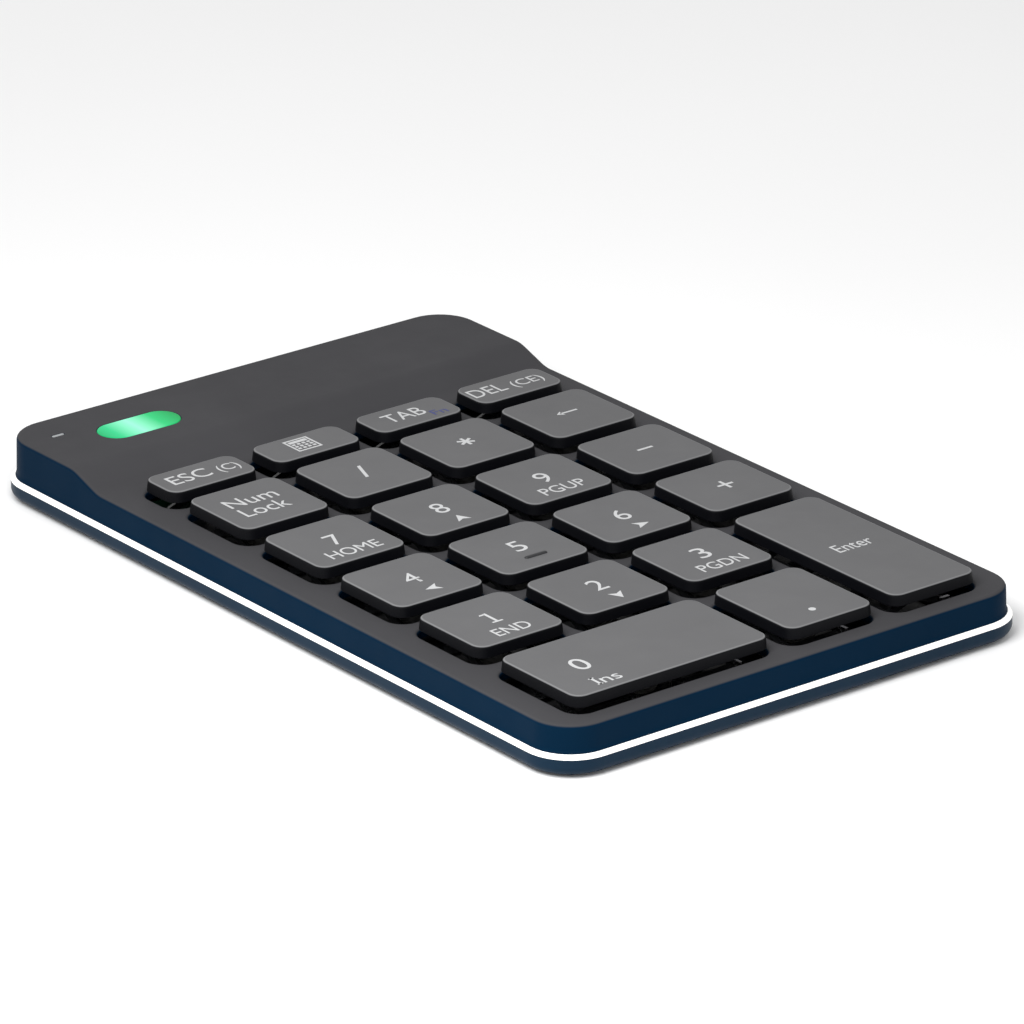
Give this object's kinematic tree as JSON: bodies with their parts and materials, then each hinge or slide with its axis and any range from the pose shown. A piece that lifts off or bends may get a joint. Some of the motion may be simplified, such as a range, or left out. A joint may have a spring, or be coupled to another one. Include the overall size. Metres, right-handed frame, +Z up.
{
  "type": "numeric keypad",
  "caption": "Slim wireless numeric keypad with low scissor-lever keys, a raised lit rear section, a bright edge line and a charging inlet.",
  "frame": {"origin": "middle of the footprint, on the surface that the feet stand on", "axes": "+X to the right as typed on, +Y to the raised rear, +Z up"},
  "size_m": [0.0856, 0.1356, 0.01],
  "materials": {
    "housing_plastic": "fine matte charcoal",
    "base_plastic": "fine matte black",
    "bright_edge": "polished bright edge",
    "keycap_plastic": "smooth matte",
    "lever_plastic": "moulded, satin",
    "steel": "stamped sheet",
    "screw_steel": "zinc plated",
    "film": "printed polyester film",
    "dome_rubber": "moulded silicone",
    "foot_rubber": "matte rubber",
    "board_laminate": "solder mask",
    "battery_foil": "laminated foil pouch",
    "port_metal": "nickel plated",
    "switch_plastic": "moulded",
    "light_plastic": "lit from behind, green",
    "lens_plastic": "clear light pipe"
  },
  "bodies": {
    "case": {"top_housing": "housing_plastic", "bottom_cover": "base_plastic", "edge_trim": "bright_edge", "key_plate": "steel", "membrane": "film", "rubber_domes": "dome_rubber", "inner_levers": "lever_plastic", "circuit_board": "board_laminate", "battery": "battery_foil", "usb_c_port": "port_metal", "switch_housing": "port_metal", "case_screws": "screw_steel", "rubber_feet": "foot_rubber", "light_window": "light_plastic", "status_lens": "lens_plastic"},
    "power_switch": {"switch_slider": "switch_plastic"},
    "key_escape": {"keycap_escape": "keycap_plastic"},
    "arm_escape": {"lever_escape": "lever_plastic"},
    "key_calculator": {"keycap_calculator": "keycap_plastic"},
    "arm_calculator": {"lever_calculator": "lever_plastic"},
    "key_tab": {"keycap_tab": "keycap_plastic"},
    "arm_tab": {"lever_tab": "lever_plastic"},
    "key_delete": {"keycap_delete": "keycap_plastic"},
    "arm_delete": {"lever_delete": "lever_plastic"},
    "key_num_lock": {"keycap_num_lock": "keycap_plastic"},
    "arm_num_lock": {"lever_num_lock": "lever_plastic"},
    "key_divide": {"keycap_divide": "keycap_plastic"},
    "arm_divide": {"lever_divide": "lever_plastic"},
    "key_multiply": {"keycap_multiply": "keycap_plastic"},
    "arm_multiply": {"lever_multiply": "lever_plastic"},
    "key_backspace": {"keycap_backspace": "keycap_plastic"},
    "arm_backspace": {"lever_backspace": "lever_plastic"},
    "key_7": {"keycap_7": "keycap_plastic"},
    "arm_7": {"lever_7": "lever_plastic"},
    "key_8": {"keycap_8": "keycap_plastic"},
    "arm_8": {"lever_8": "lever_plastic"},
    "key_9": {"keycap_9": "keycap_plastic"},
    "arm_9": {"lever_9": "lever_plastic"},
    "key_minus": {"keycap_minus": "keycap_plastic"},
    "arm_minus": {"lever_minus": "lever_plastic"},
    "key_4": {"keycap_4": "keycap_plastic"},
    "arm_4": {"lever_4": "lever_plastic"},
    "key_5": {"keycap_5": "keycap_plastic"},
    "arm_5": {"lever_5": "lever_plastic"},
    "key_6": {"keycap_6": "keycap_plastic"},
    "arm_6": {"lever_6": "lever_plastic"},
    "key_plus": {"keycap_plus": "keycap_plastic"},
    "arm_plus": {"lever_plus": "lever_plastic"},
    "key_1": {"keycap_1": "keycap_plastic"},
    "arm_1": {"lever_1": "lever_plastic"},
    "key_2": {"keycap_2": "keycap_plastic"},
    "arm_2": {"lever_2": "lever_plastic"},
    "key_3": {"keycap_3": "keycap_plastic"},
    "arm_3": {"lever_3": "lever_plastic"},
    "key_enter": {"keycap_enter": "keycap_plastic"},
    "arm_enter": {"lever_enter": "lever_plastic"},
    "key_0": {"keycap_0": "keycap_plastic"},
    "arm_0": {"lever_0": "lever_plastic"},
    "key_point": {"keycap_point": "keycap_plastic"},
    "arm_point": {"lever_point": "lever_plastic"}
  },
  "joints": [
    {"name": "press_escape", "type": "slide", "parent": "case", "child": "key_escape", "axis": [0, 0, -1], "range_m": [0, 0.0018], "stiffness_N_per_m": 150, "springref_m": -0.002, "deforming": ["inner_levers", "rubber_domes"]},
    {"name": "tilt_escape", "type": "hinge", "parent": "case", "child": "arm_escape", "pos_m": [-0.0238, 0.03435, 0.00495], "axis": [0, -1, 0], "range_deg": [0, 11]},
    {"name": "press_calculator", "type": "slide", "parent": "case", "child": "key_calculator", "axis": [0, 0, -1], "range_m": [0, 0.0018], "stiffness_N_per_m": 150, "springref_m": -0.002, "deforming": ["inner_levers", "rubber_domes"]},
    {"name": "tilt_calculator", "type": "hinge", "parent": "case", "child": "arm_calculator", "pos_m": [-0.0048, 0.03435, 0.00495], "axis": [0, -1, 0], "range_deg": [0, 11]},
    {"name": "press_tab", "type": "slide", "parent": "case", "child": "key_tab", "axis": [0, 0, -1], "range_m": [0, 0.0018], "stiffness_N_per_m": 150, "springref_m": -0.002, "deforming": ["inner_levers", "rubber_domes"]},
    {"name": "tilt_tab", "type": "hinge", "parent": "case", "child": "arm_tab", "pos_m": [0.0142, 0.03435, 0.00495], "axis": [0, -1, 0], "range_deg": [0, 11]},
    {"name": "press_delete", "type": "slide", "parent": "case", "child": "key_delete", "axis": [0, 0, -1], "range_m": [0, 0.0018], "stiffness_N_per_m": 150, "springref_m": -0.002, "deforming": ["inner_levers", "rubber_domes"]},
    {"name": "tilt_delete", "type": "hinge", "parent": "case", "child": "arm_delete", "pos_m": [0.0332, 0.03435, 0.00495], "axis": [0, -1, 0], "range_deg": [0, 11]},
    {"name": "press_num_lock", "type": "slide", "parent": "case", "child": "key_num_lock", "axis": [0, 0, -1], "range_m": [0, 0.0018], "stiffness_N_per_m": 150, "springref_m": -0.002, "deforming": ["inner_levers", "rubber_domes"]},
    {"name": "tilt_num_lock", "type": "hinge", "parent": "case", "child": "arm_num_lock", "pos_m": [-0.0285, 0.0155, 0.00495], "axis": [-1, 0, 0], "range_deg": [0, 11]},
    {"name": "press_divide", "type": "slide", "parent": "case", "child": "key_divide", "axis": [0, 0, -1], "range_m": [0, 0.0018], "stiffness_N_per_m": 150, "springref_m": -0.002, "deforming": ["inner_levers", "rubber_domes"]},
    {"name": "tilt_divide", "type": "hinge", "parent": "case", "child": "arm_divide", "pos_m": [-0.0095, 0.0155, 0.00495], "axis": [-1, 0, 0], "range_deg": [0, 11]},
    {"name": "press_multiply", "type": "slide", "parent": "case", "child": "key_multiply", "axis": [0, 0, -1], "range_m": [0, 0.0018], "stiffness_N_per_m": 150, "springref_m": -0.002, "deforming": ["inner_levers", "rubber_domes"]},
    {"name": "tilt_multiply", "type": "hinge", "parent": "case", "child": "arm_multiply", "pos_m": [0.0095, 0.0155, 0.00495], "axis": [-1, 0, 0], "range_deg": [0, 11]},
    {"name": "press_backspace", "type": "slide", "parent": "case", "child": "key_backspace", "axis": [0, 0, -1], "range_m": [0, 0.0018], "stiffness_N_per_m": 150, "springref_m": -0.002, "deforming": ["inner_levers", "rubber_domes"]},
    {"name": "tilt_backspace", "type": "hinge", "parent": "case", "child": "arm_backspace", "pos_m": [0.0285, 0.0155, 0.00495], "axis": [-1, 0, 0], "range_deg": [0, 11]},
    {"name": "press_7", "type": "slide", "parent": "case", "child": "key_7", "axis": [0, 0, -1], "range_m": [0, 0.0018], "stiffness_N_per_m": 150, "springref_m": -0.002, "deforming": ["inner_levers", "rubber_domes"]},
    {"name": "tilt_7", "type": "hinge", "parent": "case", "child": "arm_7", "pos_m": [-0.0285, -0.0026, 0.00495], "axis": [-1, 0, 0], "range_deg": [0, 11]},
    {"name": "press_8", "type": "slide", "parent": "case", "child": "key_8", "axis": [0, 0, -1], "range_m": [0, 0.0018], "stiffness_N_per_m": 150, "springref_m": -0.002, "deforming": ["inner_levers", "rubber_domes"]},
    {"name": "tilt_8", "type": "hinge", "parent": "case", "child": "arm_8", "pos_m": [-0.0095, -0.0026, 0.00495], "axis": [-1, 0, 0], "range_deg": [0, 11]},
    {"name": "press_9", "type": "slide", "parent": "case", "child": "key_9", "axis": [0, 0, -1], "range_m": [0, 0.0018], "stiffness_N_per_m": 150, "springref_m": -0.002, "deforming": ["inner_levers", "rubber_domes"]},
    {"name": "tilt_9", "type": "hinge", "parent": "case", "child": "arm_9", "pos_m": [0.0095, -0.0026, 0.00495], "axis": [-1, 0, 0], "range_deg": [0, 11]},
    {"name": "press_minus", "type": "slide", "parent": "case", "child": "key_minus", "axis": [0, 0, -1], "range_m": [0, 0.0018], "stiffness_N_per_m": 150, "springref_m": -0.002, "deforming": ["inner_levers", "rubber_domes"]},
    {"name": "tilt_minus", "type": "hinge", "parent": "case", "child": "arm_minus", "pos_m": [0.0285, -0.0026, 0.00495], "axis": [-1, 0, 0], "range_deg": [0, 11]},
    {"name": "press_4", "type": "slide", "parent": "case", "child": "key_4", "axis": [0, 0, -1], "range_m": [0, 0.0018], "stiffness_N_per_m": 150, "springref_m": -0.002, "deforming": ["inner_levers", "rubber_domes"]},
    {"name": "tilt_4", "type": "hinge", "parent": "case", "child": "arm_4", "pos_m": [-0.0285, -0.0207, 0.00495], "axis": [-1, 0, 0], "range_deg": [0, 11]},
    {"name": "press_5", "type": "slide", "parent": "case", "child": "key_5", "axis": [0, 0, -1], "range_m": [0, 0.0018], "stiffness_N_per_m": 150, "springref_m": -0.002, "deforming": ["inner_levers", "rubber_domes"]},
    {"name": "tilt_5", "type": "hinge", "parent": "case", "child": "arm_5", "pos_m": [-0.0095, -0.0207, 0.00495], "axis": [-1, 0, 0], "range_deg": [0, 11]},
    {"name": "press_6", "type": "slide", "parent": "case", "child": "key_6", "axis": [0, 0, -1], "range_m": [0, 0.0018], "stiffness_N_per_m": 150, "springref_m": -0.002, "deforming": ["inner_levers", "rubber_domes"]},
    {"name": "tilt_6", "type": "hinge", "parent": "case", "child": "arm_6", "pos_m": [0.0095, -0.0207, 0.00495], "axis": [-1, 0, 0], "range_deg": [0, 11]},
    {"name": "press_plus", "type": "slide", "parent": "case", "child": "key_plus", "axis": [0, 0, -1], "range_m": [0, 0.0018], "stiffness_N_per_m": 150, "springref_m": -0.002, "deforming": ["inner_levers", "rubber_domes"]},
    {"name": "tilt_plus", "type": "hinge", "parent": "case", "child": "arm_plus", "pos_m": [0.0285, -0.0207, 0.00495], "axis": [-1, 0, 0], "range_deg": [0, 11]},
    {"name": "press_1", "type": "slide", "parent": "case", "child": "key_1", "axis": [0, 0, -1], "range_m": [0, 0.0018], "stiffness_N_per_m": 150, "springref_m": -0.002, "deforming": ["inner_levers", "rubber_domes"]},
    {"name": "tilt_1", "type": "hinge", "parent": "case", "child": "arm_1", "pos_m": [-0.0285, -0.0388, 0.00495], "axis": [-1, 0, 0], "range_deg": [0, 11]},
    {"name": "press_2", "type": "slide", "parent": "case", "child": "key_2", "axis": [0, 0, -1], "range_m": [0, 0.0018], "stiffness_N_per_m": 150, "springref_m": -0.002, "deforming": ["inner_levers", "rubber_domes"]},
    {"name": "tilt_2", "type": "hinge", "parent": "case", "child": "arm_2", "pos_m": [-0.0095, -0.0388, 0.00495], "axis": [-1, 0, 0], "range_deg": [0, 11]},
    {"name": "press_3", "type": "slide", "parent": "case", "child": "key_3", "axis": [0, 0, -1], "range_m": [0, 0.0018], "stiffness_N_per_m": 150, "springref_m": -0.002, "deforming": ["inner_levers", "rubber_domes"]},
    {"name": "tilt_3", "type": "hinge", "parent": "case", "child": "arm_3", "pos_m": [0.0095, -0.0388, 0.00495], "axis": [-1, 0, 0], "range_deg": [0, 11]},
    {"name": "press_enter", "type": "slide", "parent": "case", "child": "key_enter", "axis": [0, 0, -1], "range_m": [0, 0.0018], "stiffness_N_per_m": 150, "springref_m": -0.002, "deforming": ["inner_levers", "rubber_domes"]},
    {"name": "tilt_enter", "type": "hinge", "parent": "case", "child": "arm_enter", "pos_m": [0.0332, -0.0448, 0.00495], "axis": [0, -1, 0], "range_deg": [0, 11]},
    {"name": "press_0", "type": "slide", "parent": "case", "child": "key_0", "axis": [0, 0, -1], "range_m": [0, 0.0018], "stiffness_N_per_m": 150, "springref_m": -0.002, "deforming": ["inner_levers", "rubber_domes"]},
    {"name": "tilt_0", "type": "hinge", "parent": "case", "child": "arm_0", "pos_m": [-0.019, -0.0588, 0.00495], "axis": [-1, 0, 0], "range_deg": [0, 11]},
    {"name": "press_point", "type": "slide", "parent": "case", "child": "key_point", "axis": [0, 0, -1], "range_m": [0, 0.0018], "stiffness_N_per_m": 150, "springref_m": -0.002, "deforming": ["inner_levers", "rubber_domes"]},
    {"name": "tilt_point", "type": "hinge", "parent": "case", "child": "arm_point", "pos_m": [0.0095, -0.0588, 0.00495], "axis": [-1, 0, 0], "range_deg": [0, 11]},
    {"name": "switch_slide", "type": "slide", "parent": "case", "child": "power_switch", "axis": [1, 0, 0], "range_m": [0, 0.003]}
  ],
  "couplings": [
    {"joint": "tilt_escape", "follows": "press_escape", "rad_per_m": 103.46},
    {"joint": "tilt_calculator", "follows": "press_calculator", "rad_per_m": 103.46},
    {"joint": "tilt_tab", "follows": "press_tab", "rad_per_m": 103.46},
    {"joint": "tilt_delete", "follows": "press_delete", "rad_per_m": 103.46},
    {"joint": "tilt_num_lock", "follows": "press_num_lock", "rad_per_m": 103.46},
    {"joint": "tilt_divide", "follows": "press_divide", "rad_per_m": 103.46},
    {"joint": "tilt_multiply", "follows": "press_multiply", "rad_per_m": 103.46},
    {"joint": "tilt_backspace", "follows": "press_backspace", "rad_per_m": 103.46},
    {"joint": "tilt_7", "follows": "press_7", "rad_per_m": 103.46},
    {"joint": "tilt_8", "follows": "press_8", "rad_per_m": 103.46},
    {"joint": "tilt_9", "follows": "press_9", "rad_per_m": 103.46},
    {"joint": "tilt_minus", "follows": "press_minus", "rad_per_m": 103.46},
    {"joint": "tilt_4", "follows": "press_4", "rad_per_m": 103.46},
    {"joint": "tilt_5", "follows": "press_5", "rad_per_m": 103.46},
    {"joint": "tilt_6", "follows": "press_6", "rad_per_m": 103.46},
    {"joint": "tilt_plus", "follows": "press_plus", "rad_per_m": 103.46},
    {"joint": "tilt_1", "follows": "press_1", "rad_per_m": 103.46},
    {"joint": "tilt_2", "follows": "press_2", "rad_per_m": 103.46},
    {"joint": "tilt_3", "follows": "press_3", "rad_per_m": 103.46},
    {"joint": "tilt_enter", "follows": "press_enter", "rad_per_m": 103.46},
    {"joint": "tilt_0", "follows": "press_0", "rad_per_m": 103.46},
    {"joint": "tilt_point", "follows": "press_point", "rad_per_m": 103.46}
  ]
}
